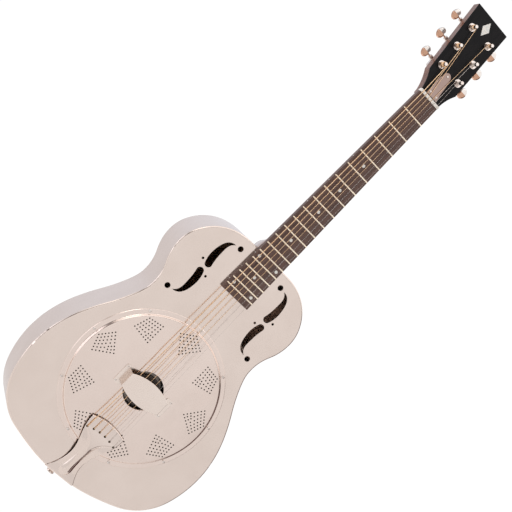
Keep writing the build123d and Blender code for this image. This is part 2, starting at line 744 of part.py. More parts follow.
with BuildPart() as heel_cover:
    for depth, half_width, reach in ((8.5, 27.6, 48), *HEEL_SECTIONS[1:-1], (63, 15.0, 19)):
        with BuildSketch(front_plane(depth, BODY_Z)):
            with BuildLine():
                bow = EllipticalCenterArc((0, 0), half_width + 1, reach + 1, 0, arc_size=180)
                Line(bow @ 1, bow @ 0)
            make_face()
    loft()
    with BuildSketch(Plane.XY.offset(BODY_Z + 34)):
        Rectangle(80, 200)
    extrude(amount=40, mode=Mode.SUBTRACT)
    add(neck_blank.part, mode=Mode.SUBTRACT)
save(heel_cover.part, "heel_cover")

INLAY_AT = 152.0
INLAY_DEPTH = 0.6


def inlay_face():
    """The plain lozenge let into the headstock's face."""
    with BuildSketch(head_plane(-INLAY_DEPTH)) as lozenge:
        with Locations((0, INLAY_AT)):
            Polygon((-8, 0), (0, -14), (8, 0), (0, 14), align=None)
    return lozenge.sketch


with BuildPart() as headstock_face:
    extrude(head_face(-VENEER), amount=VENEER)
    with BuildSketch(Plane.XY.offset(-12)):
        Rectangle(60, 60)
    extrude(amount=12 + NUT_LENGTH, mode=Mode.SUBTRACT)
    with BuildSketch(front_plane(ROD_Y)):
        with Locations((0, (NUT_LENGTH + POCKET_Z) / 2 + 1)):
            SlotOverall(POCKET_Z - NUT_LENGTH - 2, POCKET_W, rotation=90)
    extrude(amount=20, mode=Mode.SUBTRACT)
    with BuildSketch(head_plane(-VENEER)):
        with Locations(*post_spots()):
            Circle(POST_HOLE_R)
    extrude(amount=VENEER, mode=Mode.SUBTRACT)
    extrude(inlay_face(), amount=INLAY_DEPTH, mode=Mode.SUBTRACT)
save(headstock_face.part, "headstock_face")

with BuildPart() as headstock_inlay:
    extrude(inlay_face(), amount=INLAY_DEPTH)
save(headstock_inlay.part, "headstock_inlay")

COVER_SCREWS = ((0, 45.5), (-7, 6.5), (7, 6.5))
ROD_COVER_THICK = 1.6

with BuildPart() as truss_rod_cover:
    with BuildSketch(head_plane()):
        with BuildLine():
            right = [(13, 1.2), (10.0, 22), (8.6, 40), (5.6, 49)]
            bell = Spline(*right, (0, 52), *[(-x, along) for x, along in reversed(right)])
            Line(bell @ 1, bell @ 0)
        make_face()
    extrude(amount=ROD_COVER_THICK)
    chamfer(truss_rod_cover.faces().sort_by(HEAD_OUT)[-1].edges(), 0.6)
    with BuildSketch(head_plane()):
        with Locations(*COVER_SCREWS):
            Circle(EAR_SCREW_R)
    extrude(amount=ROD_COVER_THICK, mode=Mode.SUBTRACT)
save(truss_rod_cover.part, "truss_rod_cover")

rod_cover_seat = head_plane(ROD_COVER_THICK)
save(
    dome_screws(rod_cover_seat, COVER_SCREWS, 1.9, 0.9, EAR_SCREW_R - 0.1, ROD_COVER_THICK),
    "truss_cover_screws",
)

ROD_NUT_Z = 10.5
ROD_END_Z = 15.0

with BuildPart() as truss_rod:
    with BuildSketch(Plane.XY.offset(ROD_LOW_Z + 2)):
        with Locations((0, ROD_Y)):
            Circle(ROD_R - 0.1)
    extrude(amount=ROD_END_Z - ROD_LOW_Z - 2)
save(truss_rod.part, "truss_rod")

with BuildPart() as truss_rod_nut:
    with BuildSketch(Plane.XY.offset(ROD_NUT_Z)):
        with Locations((0, ROD_Y)):
            RegularPolygon(3.9, 6, major_radius=False)
            Circle(ROD_R - 0.05, mode=Mode.SUBTRACT)
    extrude(amount=ROD_END_Z - ROD_NUT_Z)
    with BuildSketch(Plane.XY.offset(ROD_END_Z)):
        with Locations((0, ROD_Y)):
            RegularPolygon(3.9, 6, major_radius=False)
            RegularPolygon(2.0, 6, major_radius=False, mode=Mode.SUBTRACT)
    extrude(amount=4.5)
save(truss_rod_nut.part, "truss_rod_nut")

# ================================================================ inside the body
STICK_HALF_W = 13.0
STICK_Y = (36.0, 62.0)
BLOCK_HALF_W = 24.0
BLOCK_LENGTH = 42.0
BLOCK_TOP_Z = BODY_Z - SHEET - 0.6
BLOCK_FRONT_Y = TOP_Y + RIM

with BuildPart() as neck_stick:
    with BuildSketch(Plane.XY.offset(BLOCK_TOP_Z - BLOCK_LENGTH)):
        with Locations((0, (BLOCK_FRONT_Y + STICK_Y[1]) / 2)):
            Rectangle(2 * BLOCK_HALF_W, STICK_Y[1] - BLOCK_FRONT_Y)
    extrude(amount=BLOCK_LENGTH)
    with BuildSketch(Plane.XY.offset(INNER_TAIL_Z + 0.4)):
        with Locations((0, sum(STICK_Y) / 2)):
            Rectangle(2 * STICK_HALF_W, STICK_Y[1] - STICK_Y[0])
    extrude(amount=BLOCK_TOP_Z - INNER_TAIL_Z - 1)
    with BuildSketch(Plane.XY.offset(BLOCK_TOP_Z - BLOCK_LENGTH)):
        with Locations(*NECK_BOLTS):
            Circle(NECK_BOLT_R)
    extrude(amount=BLOCK_LENGTH, mode=Mode.SUBTRACT)
    with BuildSketch(Plane.XY.offset(INNER_TAIL_Z)):
        with Locations((0, PIN_Y)):
            Circle(PIN_SCREW_R)
    extrude(amount=PIN_SCREW_LENGTH, mode=Mode.SUBTRACT)
save(neck_stick.part, "neck_stick")

with BuildPart() as neck_bolts:
    with BuildSketch(Plane.XY.offset(BLOCK_TOP_Z - BLOCK_LENGTH)):
        with Locations(*NECK_BOLTS):
            Circle(NECK_BOLT_R - 0.1)
    extrude(amount=BLOCK_LENGTH + 14)
    with BuildSketch(Plane.XY.offset(BLOCK_TOP_Z - BLOCK_LENGTH)):
        with Locations(*NECK_BOLTS):
            RegularPolygon(5.0, 6, major_radius=False)
    extrude(amount=-4.0)
save(neck_bolts.part, "neck_bolts")

PROP_SPOTS = ((0, CONE_Z + 62), (0, CONE_Z - 72))

with BuildPart() as back_props:
    with BuildSketch(front_plane(BACK_Y - SHEET)):
        with Locations(*PROP_SPOTS):
            Circle(17)
    extrude(amount=4)
    with BuildSketch(front_plane(BACK_Y - SHEET)):
        with Locations(*PROP_SPOTS):
            Circle(8)
    extrude(amount=BACK_Y - SHEET - STICK_Y[1])
save(back_props.part, "back_props")

# ================================================================ fretboard
FRET_CROWN_W = 2.4
FRET_CROWN_H = 1.1
FRET_TANG_W = 0.54
FRET_TANG_D = 2.2
DOT_R = 2.75
SIDE_DOT_R = 1.0
DOT_DEPTH = 1.0
SINGLE_DOTS = (5, 7, 9, 12, 17)
DOUBLE_DOTS = (15, 19)
DOUBLE_DOT_X = 20.0


def between_frets(number):
    """Middle of the space behind a fret."""
    return (fret_z(number) + fret_z(number - 1)) / 2


dot_spots = [(0, between_frets(n)) for n in SINGLE_DOTS]
dot_spots += [(side * DOUBLE_DOT_X, between_frets(n)) for n in DOUBLE_DOTS for side in (-1, 1)]


def side_dot_plane(number):
    """Plane on the bass edge of the fretboard at the middle of a fret's space."""
    z = between_frets(number)
    lean = (BOARD_END_W - NUT_W) / 2 / -BOARD_END_Z
    return Plane(
        origin=(-board_width(z) / 2, BOARD_THICK * 0.45, z),
        x_dir=(0, 1, 0),
        z_dir=(-1, 0, lean),
    )


with BuildPart() as fretboard:
    with BuildSketch(front_plane(BOARD_THICK)):
        Polygon(
            (-NUT_W / 2, 0),
            (-BOARD_END_W / 2, BOARD_END_Z),
            (BOARD_END_W / 2, BOARD_END_Z),
            (NUT_W / 2, 0),
            align=None,
        )
    extrude(amount=BOARD_THICK)
    with BuildSketch(front_plane(FRET_TANG_D + 0.1)):
        with Locations(*[(0, fret_z(n)) for n in range(1, FRETS + 1)]):
            Rectangle(BOARD_END_W + 5, FRET_TANG_W)
    extrude(amount=FRET_TANG_D + 0.1, mode=Mode.SUBTRACT)
    with BuildSketch(front_plane(DOT_DEPTH)):
        with Locations(*dot_spots):
            Circle(DOT_R)
    extrude(amount=DOT_DEPTH, mode=Mode.SUBTRACT)
    for number in SINGLE_DOTS + DOUBLE_DOTS:
        with BuildSketch(side_dot_plane(number)):
            Circle(SIDE_DOT_R)
        extrude(amount=-DOT_DEPTH, mode=Mode.SUBTRACT)
save(fretboard.part, "fretboard")

with BuildPart() as fret_dots:
    with BuildSketch(front_plane(DOT_DEPTH)):
        with Locations(*dot_spots):
            Circle(DOT_R)
    extrude(amount=DOT_DEPTH)
save(fret_dots.part, "fret_dots")

with BuildPart() as side_dots:
    for number in SINGLE_DOTS + DOUBLE_DOTS:
        with BuildSketch(side_dot_plane(number)):
            Circle(SIDE_DOT_R)
        extrude(amount=-DOT_DEPTH)
save(side_dots.part, "side_dots")

with BuildPart() as frets:
    for number in range(1, FRETS + 1):
        z = fret_z(number)
        half = FRET_CROWN_W / 2
        with BuildSketch(Plane.YZ):
            with BuildLine():
                crown = ThreePointArc((0, z - half), (-FRET_CROWN_H, z), (0, z + half))
                Polyline(
                    crown @ 1,
                    (0, z + FRET_TANG_W / 2),
                    (FRET_TANG_D, z + FRET_TANG_W / 2),
                    (FRET_TANG_D, z - FRET_TANG_W / 2),
                    (0, z - FRET_TANG_W / 2),
                    crown @ 0,
                )
            make_face()
        extrude(amount=board_width(z) / 2 - 0.4, both=True)
save(frets.part, "frets")

with BuildPart() as nut:
    with BuildSketch(front_plane(BOARD_THICK)):
        with Locations((0, NUT_LENGTH / 2)):
            Rectangle(NUT_W, NUT_LENGTH)
    extrude(amount=BOARD_THICK - NUT_TOP_Y)
    fillet(nut.edges().filter_by(Axis.X).group_by(Axis.Y)[0], 1.0)
    for index, diameter in enumerate(STRING_D):
        width = diameter + 0.6
        with BuildSketch(Plane.YZ.offset(string_x(index, NUT_SPREAD) - width / 2)):
            floor = NUT_ACTION_Y + 0.1
            Polygon(
                (floor, -1),
                (floor, NUT_LENGTH / 2),
                (floor + 0.9, NUT_LENGTH + 1),
                (NUT_TOP_Y - 1, NUT_LENGTH + 1),
                (NUT_TOP_Y - 1, -1),
                align=None,
            )
        extrude(amount=width, mode=Mode.SUBTRACT)
save(nut.part, "nut")

# ================================================================ tuners
POST_R = 3.0
POST_TOP = 14.0
WINDING_MID = 7.2
PIVOT_R = 2.0
GEAR_R = 3.5
GEAR_ROOT_R = 2.7
GEAR_HEIGHTS = (-23.5, -19.5)
PIVOT_END = -26.5
WORM_H = sum(GEAR_HEIGHTS) / 2
WORM_R = 1.7
SHAFT_R = 1.5
HOUSING_BACK = -28.0
RUN = 0.05  # running clearance on the radius
BUTTON_X = 26.7
BUTTON_HALF_H = 3.4
COLLAR_END = 16.5
HEX_R = 5.0


def post_plane(index):
    """Plane square to a post on the headstock's face; local z runs out of the face."""
    x, along = post_spots()[index]
    return Plane(origin=head_point(x, along, 0), x_dir=(1, 0, 0), z_dir=(0, -HEAD_COS, HEAD_SIN))


def outward(index):
    """+1 for a tuner on the treble edge, -1 on the bass edge."""
    return 1 if post_spots()[index][0] > 0 else -1


def winding_turns(index):
    """Turns of a string round its post: more of a thin string."""
    return 3 if STRING_D[index] > 0.6 else 5


def side_plane(index, x):
    """Plane square to a tuner's worm axis, x outwards from the post's axis."""
    side = outward(index)
    spot_x, along = post_spots()[index]
    origin = head_point(spot_x + side * x, along + WORM_OFFSET, WORM_H)
    return Plane(origin=origin, x_dir=(0, HEAD_SIN, HEAD_COS), z_dir=(side, 0, 0))


def make_post(index):
    """String post with its worm wheel."""
    with BuildPart(post_plane(index)) as post:
        with BuildSketch(post_plane(index).offset(PIVOT_END)):
            Circle(PIVOT_R)
        extrude(amount=GEAR_HEIGHTS[1] - PIVOT_END)
        with BuildSketch(post_plane(index).offset(GEAR_HEIGHTS[1])):
            Circle(POST_R)
        extrude(amount=POST_TOP - GEAR_HEIGHTS[1])
        chamfer(post.faces().sort_by(HEAD_OUT)[-1].edges(), 0.6)
        with BuildSketch(post_plane(index).offset(GEAR_HEIGHTS[0])):
            Circle(GEAR_ROOT_R)
            with PolarLocations((GEAR_ROOT_R + GEAR_R) / 2, GEAR_TEETH):
                Rectangle(GEAR_R - GEAR_ROOT_R + 0.4, 0.7)
            Circle(GEAR_R, mode=Mode.INTERSECT)
        extrude(amount=GEAR_HEIGHTS[1] - GEAR_HEIGHTS[0])
        hole = Plane(
            origin=head_point(*post_spots()[index], WINDING_MID + 3.6),
            x_dir=(0, -HEAD_COS, HEAD_SIN),
            z_dir=(1, 0, 0),
        )
        with BuildSketch(hole):
            Circle(0.9)
        extrude(amount=POST_R + 1, both=True, mode=Mode.SUBTRACT)
    return post.part


def make_winding(index):
    """The turns of one string round its post."""
    wire = STRING_D[index]
    turns = winding_turns(index)
    spot_x, along = post_spots()[index]
    section = Plane(
        origin=head_point(spot_x, along, 0),
        x_dir=(1, 0, 0),
        z_dir=(0, -HEAD_SIN, -HEAD_COS),
    )
    with BuildPart() as winding:
        with BuildSketch(section):
            for turn in range(turns):
                height = WINDING_MID + (turn - (turns - 1) / 2) * wire * 0.95
                with Locations((POST_R + 0.01 + wire / 2, height)):
                    Circle(wire / 2)
        revolve(axis=Axis(head_point(spot_x, along, 0), (0, -HEAD_COS, HEAD_SIN)))
    return winding.part


def make_button(index):
    """Button, its shaft and the worm."""
    side = outward(index)
    spot_x, along = post_spots()[index]
    origin = head_point(spot_x + side * BUTTON_X, along + WORM_OFFSET, WORM_H)
    face = Plane(origin=origin, x_dir=(side, 0, 0), z_dir=(0, -HEAD_COS, HEAD_SIN))
    with BuildPart() as button:
        with BuildSketch(face):
            with BuildLine():
                upper = [(-5.6, 4.5), (-3.2, 8.6), (1.8, 9.5), (6.2, 5.6)]
                lower = [(x, -y) for x, y in reversed(upper)]
                Spline((-5.2, 0), *upper, (7.6, 0), *lower, periodic=True)
            make_face()
        extrude(amount=BUTTON_HALF_H, both=True)
        flats = button.faces().sort_by(HEAD_OUT)
        fillet(flats[0].edges() + flats[-1].edges(), 2.3)
        with BuildSketch(side_plane(index, -4.2)):
            Circle(WORM_R)
        extrude(amount=8.4)
        with BuildSketch(side_plane(index, 4.2)):
            Circle(SHAFT_R)
        extrude(amount=BUTTON_X - 4.2)
    return button.part


def make_housing(index):
    """Die-cast gear housing with its shaft collar and screw ear."""
    side = outward(index)
    base = post_plane(index)
    with BuildPart() as housing:
        with BuildSketch(base.offset(HOUSING_BACK)):
            with Locations((side * 0.5, 1.5)):
                RectangleRounded(19, 18.5, 3.0)
        extrude(amount=-HEAD_THICK - HOUSING_BACK)
        back_rim = housing.faces().sort_by(HEAD_OUT)[0].edges()
        fillet(back_rim, 1.6)
        with BuildSketch(side_plane(index, 9)):
            Circle(3.8)
        extrude(amount=COLLAR_END - 9)
        with BuildSketch(base.offset(-HEAD_THICK - 2.4)):
            with Locations((-side * EAR_IN, -EAR_DOWN)):
                Circle(3.4)
            with Locations((-side * EAR_IN, -EAR_DOWN / 2)):
                Rectangle(6.8, EAR_DOWN)
        extrude(amount=2.4)
        with BuildSketch(base.offset(-HEAD_THICK - 2.4)):
            with Locations((-side * EAR_IN, -EAR_DOWN)):
                Circle(EAR_SCREW_R)
        extrude(amount=2.4, mode=Mode.SUBTRACT)
        for low, high, radius in (
            (PIVOT_END - 0.2, GEAR_HEIGHTS[0] - 0.4, PIVOT_R + RUN),
            (GEAR_HEIGHTS[0] - 0.4, GEAR_HEIGHTS[1] + 0.4, GEAR_R + 0.4),
            (GEAR_HEIGHTS[1] + 0.4, -HEAD_THICK, POST_R + RUN),
        ):
            with BuildSketch(base.offset(low)):
                Circle(radius)
            extrude(amount=high - low, mode=Mode.SUBTRACT)
        with BuildSketch(side_plane(index, -4.6)):
            Circle(WORM_R + 0.35)
        extrude(amount=9.2, mode=Mode.SUBTRACT)
        with BuildSketch(side_plane(index, 4.2)):
            Circle(SHAFT_R + RUN)
        extrude(amount=COLLAR_END, mode=Mode.SUBTRACT)
    return housing.part


def make_bushing(index):
    """Threaded bushing with a hexagon head, through the headstock."""
    base = post_plane(index)
    with BuildPart() as bushing:
        with BuildSketch(base.offset(-11)):
            Circle(POST_HOLE_R - 0.05)
            Circle(POST_R + RUN, mode=Mode.SUBTRACT)
        extrude(amount=12)
        with BuildSketch(base.offset(1)):
            RegularPolygon(HEX_R, 6, major_radius=False)
            Circle(POST_R + RUN, mode=Mode.SUBTRACT)
        extrude(amount=3)
    return bushing.part


def make_washer(index):
    """Washer under a bushing's head."""
    with BuildPart() as washer:
        with BuildSketch(post_plane(index)):
            Circle(6.7)
            Circle(POST_HOLE_R, mode=Mode.SUBTRACT)
        extrude(amount=1)
    return washer.part


for index in range(STRINGS):
    number = index + 1
    save(make_post(index), f"tuner_post_{number}")
    save(make_winding(index), f"string_winding_{number}")
    save(make_button(index), f"tuner_button_{number}")

for label, make in (
    ("tuner_housings", make_housing),
    ("tuner_bushings", make_bushing),
    ("tuner_washers", make_washer),
):
    with BuildPart() as group:
        for index in range(STRINGS):
            add(make(index))
    save(group.part, label)

back_of_ears = head_plane(-HEAD_THICK - 2.4)
ear_plane = Plane(origin=back_of_ears.origin, x_dir=(-1, 0, 0), z_dir=(0, HEAD_COS, -HEAD_SIN))
ear_places = [(-x, along) for x, along in ear_spots()]
save(dome_screws(ear_plane, ear_places, 2.2, 1.1, EAR_SCREW_R - 0.1, 9.5), "tuner_screws")


# ================================================================ strings
def string_route(index):
    """Corners of a string's path from its anchor in the tailpiece to its post."""
    radius = STRING_D[index] / 2
    anchor_x, anchor_z = tail_hole(index)
    side = outward(index)
    spot_x, along = post_spots()[index]
    reach = POST_R + STRING_D[index] + radius + 0.35
    return (
        (anchor_x, TAIL_PLATE_Y + TAIL_PLATE + 0.1, CONE_Z + anchor_z),
        (anchor_x, TAIL_PLATE_Y - radius - 0.9, CONE_Z + anchor_z),
        (string_x(index, SADDLE_SPREAD), SADDLE_ACTION_Y - radius, CONE_Z),
        (string_x(index, NUT_SPREAD), NUT_ACTION_Y - radius, NUT_LENGTH / 2),
        head_point(spot_x - side * reach, along - 1, WINDING_MID),
    )


BEND_RADII = (1.5, 12, 5)

for index, diameter in enumerate(STRING_D):
    with BuildPart() as string:
        with BuildLine() as route:
            FilletPolyline(*string_route(index), radius=BEND_RADII)
        with BuildSketch(Plane(origin=route.line @ 0, z_dir=route.line % 0)):
            Circle(diameter / 2)
        sweep()
    save(string.part, f"string_{index + 1}")

BALL_R = 1.9
with BuildPart() as ball_ends:
    for index in range(STRINGS):
        x, z = tail_hole(index)
        ball_y = TAIL_PLATE_Y + TAIL_PLATE + 0.1 + BALL_R
        with BuildSketch(Plane(origin=(x, ball_y, CONE_Z + z), x_dir=(0, 1, 0), z_dir=(1, 0, 0))):
            Circle(BALL_R)
        extrude(amount=1.8, both=True)
save(ball_ends.part, "ball_ends")
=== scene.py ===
from math import cos, pi, radians, sin, sqrt

import bmesh
import bpy
from mathutils import Matrix, Vector


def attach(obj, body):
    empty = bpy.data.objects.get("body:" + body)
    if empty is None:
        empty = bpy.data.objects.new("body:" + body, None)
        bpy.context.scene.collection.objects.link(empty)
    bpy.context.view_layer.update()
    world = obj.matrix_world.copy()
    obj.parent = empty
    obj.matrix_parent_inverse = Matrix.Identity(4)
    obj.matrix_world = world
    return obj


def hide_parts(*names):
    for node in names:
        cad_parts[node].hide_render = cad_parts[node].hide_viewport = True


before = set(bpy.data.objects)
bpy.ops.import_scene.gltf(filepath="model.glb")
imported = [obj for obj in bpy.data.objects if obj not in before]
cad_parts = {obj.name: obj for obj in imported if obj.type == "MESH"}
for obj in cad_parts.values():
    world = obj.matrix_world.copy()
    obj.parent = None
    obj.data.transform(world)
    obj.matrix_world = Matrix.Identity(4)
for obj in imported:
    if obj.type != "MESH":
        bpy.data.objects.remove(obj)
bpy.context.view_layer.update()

MM = 0.001
CONE_Z = -0.647  # axis of the cone and coverplate
HEAD_TILT = radians(13)
BODY = "guitar"


# ---------------------------------------------------------------- procedural materials
class Surface:
    """A procedural material being put together on its principled shader."""

    def __init__(self, name):
        self.material = bpy.data.materials.new(name)
        self.material.use_nodes = True
        self.tree = self.material.node_tree
        self.shader = self.tree.nodes["Principled BSDF"]
        self.place = self.add("ShaderNodeTexCoord").outputs["Object"]

    def feed(self, socket, value):
        """Gives a socket a link or a plain value."""
        if isinstance(value, bpy.types.NodeSocket):
            self.tree.links.new(value, socket)
        else:
            socket.default_value = value

    def add(self, kind, settings=None, **sockets):
        """Adds a node; keyword names are its sockets, with _ for a space."""
        node = self.tree.nodes.new(kind)
        for key, value in (settings or {}).items():
            setattr(node, key, value)
        for key, value in sockets.items():
            self.feed(node.inputs[key.replace("_", " ")], value)
        return node

    def stretched(self, stretch):
        return self.add("ShaderNodeMapping", Vector=self.place, Scale=stretch).outputs["Vector"]

    def noise(self, scale, stretch=(1, 1, 1), detail=4.0, roughness=0.55):
        where = self.stretched(stretch)
        node = self.add(
            "ShaderNodeTexNoise", Vector=where, Scale=scale, Detail=detail, Roughness=roughness
        )
        return node.outputs["Fac"]

    def between(self, value, low, high, start=0.0, end=1.0):
        """Maps a value's range low..high onto start..end, held at both ends."""
        node = self.add("ShaderNodeMapRange", Value=value)
        self.feed(node.inputs["From Min"], low)
        self.feed(node.inputs["From Max"], high)
        self.feed(node.inputs["To Min"], start)
        self.feed(node.inputs["To Max"], end)
        return node.outputs["Result"]

    def mix(self, factor, first, second):
        node = self.add("ShaderNodeMix", {"data_type": "RGBA"})
        self.feed(node.inputs[0], factor)
        self.feed(node.inputs[6], first)
        self.feed(node.inputs[7], second)
        return node.outputs[2]

    def bump(self, height, depth_mm, strength=1.0, normal=None):
        node = self.add("ShaderNodeBump", Height=height, Strength=strength, Distance=depth_mm * MM)
        if normal is not None:
            self.feed(node.inputs["Normal"], normal)
        return node.outputs["Normal"]

    def finish(self, **sockets):
        for key, value in sockets.items():
            self.feed(self.shader.inputs[key.replace("_", " ")], value)
        return self.material


def rgb(red, green, blue):
    return (red, green, blue, 1.0)


def plated(name, light, deep, rough, wave=0.05, edge=0.35, relief=None):
    """Bright plating: a little haze, faint polishing marks and slight waviness of the sheet."""
    made = Surface(name)
    haze = made.noise(16, detail=6.0)
    polish = made.noise(40, (22, 22, 1.5), detail=3.0)
    smudge = made.noise(55, detail=5.0, roughness=0.65)
    sheet = made.noise(7, detail=1.0)
    normal = made.add("ShaderNodeBevel", {"samples": 4}, Radius=edge * MM).outputs["Normal"]
    if relief:
        normal = relief(made, normal)
    marks = made.bump(polish, 0.01, 0.25, normal)
    waved = made.bump(sheet, wave * 20, 0.05, marks)
    tint = made.mix(made.between(haze, 0.35, 0.65), rgb(*light), rgb(*deep))
    roughness = made.between(smudge, 0.4, 0.7, rough, rough + 0.07)
    return made.finish(Base_Color=tint, Metallic=1.0, Roughness=roughness, Normal=waved)


COVER_FLAT_R = 0.1235  # radius of the coverplate inside its rim, in metres
CROWN_MM = 2.6
HUB_RING_R = (0.054, 0.077)  # start and end of the slope round the hub, in metres
HUB_RING_MM = 0.55


def cover_dome(made, normal):
    """Bump for the coverplate's shallow crown and for the soft edge of the ring round its hub."""
    centred = made.add(
        "ShaderNodeMapping", Vector=made.place, Location=(0, 0, -CONE_Z), Scale=(1, 0, 1)
    )
    radius = made.add("ShaderNodeVectorMath", {"operation": "LENGTH"})
    made.feed(radius.inputs[0], centred.outputs["Vector"])
    crown = made.add("ShaderNodeMath", {"operation": "POWER"})
    made.feed(crown.inputs[0], made.between(radius.outputs["Value"], 0.0, COVER_FLAT_R))
    crown.inputs[1].default_value = 2.0
    ring = made.add(
        "ShaderNodeMapRange", {"interpolation_type": "SMOOTHSTEP"}, Value=radius.outputs["Value"]
    )
    ring.inputs["From Min"].default_value, ring.inputs["From Max"].default_value = HUB_RING_R
    ring.inputs["To Min"].default_value = 1.0
    ring.inputs["To Max"].default_value = 0.0
    crowned = made.bump(crown.outputs[0], -CROWN_MM, 1.0, normal)
    return made.bump(ring.outputs["Result"], -HUB_RING_MM, 1.0, crowned)


FIRST_SHAFT = 0.0626  # lowest button shaft, measured up the headstock's face, in metres
SHAFT_STEP = 0.0415
FACET_SLOPE = 0.3


def button_metal():
    """A tuner button's plating: a bumped ridge along its shaft, and a painted copper reflection on the half
    below it.
    """
    made = Surface("button_plating")
    along_head = made.add("ShaderNodeVectorMath", {"operation": "DOT_PRODUCT"})
    made.feed(along_head.inputs[0], made.place)
    along_head.inputs[1].default_value = (0.0, sin(HEAD_TILT), cos(HEAD_TILT))
    low, high = FIRST_SHAFT - SHAFT_STEP, FIRST_SHAFT + 4 * SHAFT_STEP
    step = made.between(along_head.outputs["Value"], low, high, 0.0, 5.0)
    off_shaft = made.add("ShaderNodeMath", {"operation": "PINGPONG"})
    made.feed(off_shaft.inputs[0], step)
    off_shaft.inputs[1].default_value = 0.5
    ridge = made.bump(off_shaft.outputs[0], -SHAFT_STEP / MM * FACET_SLOPE)
    painted_reflection_half = made.add("ShaderNodeMath", {"operation": "FRACT"})
    made.feed(painted_reflection_half.inputs[0], step)
    haze = made.noise(60, detail=4.0)
    bright = made.mix(made.between(haze, 0.35, 0.65), rgb(0.70, 0.67, 0.64), rgb(0.64, 0.60, 0.57))
    # the copper on the lower half is a painted reflection, fixed to the button
    warm = made.mix(made.between(haze, 0.35, 0.65), rgb(0.60, 0.36, 0.25), rgb(0.54, 0.32, 0.22))
    tint = made.mix(made.between(painted_reflection_half.outputs[0], 0.5, 0.52), bright, warm)
    return made.finish(Base_Color=tint, Metallic=1.0, Roughness=0.1, Normal=ridge)


def wood(name, dark, light, pore, stretch, rough, coat, pore_share=0.62):
    """Wood with its grain along the neck: broad bands, fine fibres and open pores."""
    made = Surface(name)
    bands = made.noise(26, stretch, detail=3.0)
    fibre = made.noise(120, (stretch[0] * 2.2, stretch[1] * 2.2, stretch[2] * 0.5), detail=5.0)
    pores = made.noise(420, (3.0, 3.0, 0.11), detail=2.0, roughness=0.4)
    figure = made.mix(made.between(bands, 0.3, 0.7), rgb(*dark), rgb(*light))
    streaked = made.mix(made.between(fibre, 0.45, 0.75, 0.0, 0.55), figure, rgb(*dark))
    open_pores = made.between(pores, pore_share, pore_share + 0.06)
    coloured = made.mix(open_pores, streaked, rgb(*pore))
    relief = made.bump(open_pores, -0.06, 0.5, made.bump(fibre, 0.02, 0.4))
    roughness = made.between(fibre, 0.3, 0.7, rough, rough + 0.12)
    return made.finish(
        Base_Color=coloured, Roughness=roughness, Normal=relief, Coat_Weight=coat, Coat_Roughness=0.12
    )


def gloss_black():
    """The headstock's black lacquer, with dust and faint swirls."""
    made = Surface("face_lacquer")
    dust = made.noise(260, detail=6.0, roughness=0.7)
    swirl = made.noise(30, (6, 6, 1), detail=3.0)
    cloud = made.between(swirl, 0.35, 0.65)
    tint = made.mix(cloud, rgb(0.004, 0.004, 0.005), rgb(0.008, 0.007, 0.008))
    roughness = made.between(dust, 0.4, 0.75, 0.2, 0.34)
    return made.finish(
        Base_Color=tint,
        Roughness=roughness,
        Normal=made.bump(swirl, 0.03, 0.2),
        Specular_IOR_Level=0.12,
    )


def pearl():
    """Shell with cells and a faint pink sheen."""
    made = Surface("pearl_shell")
    cells = made.noise(330, (1, 1, 1), detail=3.0)
    sheen = made.noise(900, (1, 3, 1), detail=2.0)
    warm = made.mix(made.between(cells, 0.35, 0.6), rgb(0.78, 0.74, 0.66), rgb(0.62, 0.66, 0.64))
    tint = made.mix(made.between(sheen, 0.5, 0.7, 0.0, 0.7), warm, rgb(0.88, 0.78, 0.76))
    return made.finish(Base_Color=tint, Roughness=0.22, Coat_Weight=0.6, Coat_Roughness=0.05)


def bone():
    """Polished bone, clouded and streaked."""
    made = Surface("polished_bone")
    cloud = made.noise(180, (1, 1, 1), detail=4.0)
    streak = made.noise(500, (0.3, 2, 2), detail=2.0)
    tint = made.mix(made.between(cloud, 0.35, 0.7), rgb(0.86, 0.83, 0.78), rgb(0.77, 0.73, 0.66))
    tint = made.mix(made.between(streak, 0.55, 0.75, 0.0, 0.25), tint, rgb(0.6, 0.54, 0.44))
    return made.finish(Base_Color=tint, Roughness=0.32, Normal=made.bump(streak, 0.02, 0.3))


WAVE_PERIOD = 2 * pi / 20  # of a wave texture at scale 1


def wire(name, light, deep, pitch_mm, rough):
    """String wire; a wound one has the turns of its wrap across its length, with painted shade in the
    grooves between them.
    """
    made = Surface(name)
    tarnish = made.noise(240, (1, 1, 0.4), detail=4.0)
    tint = made.mix(made.between(tarnish, 0.4, 0.7), rgb(*light), rgb(*deep))
    normal = made.bump(tarnish, 0.01, 0.2)
    if pitch_mm:
        turns = made.add(
            "ShaderNodeTexWave",
            {"wave_type": "BANDS", "bands_direction": "Z", "wave_profile": "SIN"},
            Vector=made.place,
            Scale=WAVE_PERIOD / (pitch_mm * MM),
        ).outputs["Fac"]
        # the grooves between the turns are darkened: painted shade
        painted_groove_shade = rgb(*[value * 0.35 for value in deep])
        tint = made.mix(made.between(turns, 0.0, 0.35, 0.4, 0.0), tint, painted_groove_shade)
        normal = made.bump(turns, 0.08, 0.8, normal)
    return made.finish(Base_Color=tint, Metallic=1.0, Roughness=rough, Normal=normal)


def spun_metal(name, light, deep, rough):
    """Metal spun or turned about the cone's axis: fine rings."""
    made = Surface(name)
    centred = made.add("ShaderNodeMapping", Vector=made.place, Location=(0, 0, -CONE_Z))
    rings = made.add(
        "ShaderNodeTexWave",
        {"wave_type": "RINGS", "rings_direction": "Y", "wave_profile": "SIN"},
        Vector=centred.outputs["Vector"],
        Scale=260.0,
        Distortion=0.6,
        Detail=3.0,
    ).outputs["Fac"]
    blotch = made.noise(30, detail=4.0)
    tint = made.mix(made.between(blotch, 0.35, 0.65), rgb(*light), rgb(*deep))
    ringed = made.bump(rings, 0.05, 0.5)
    return made.finish(Base_Color=tint, Metallic=1.0, Roughness=rough, Normal=ringed)


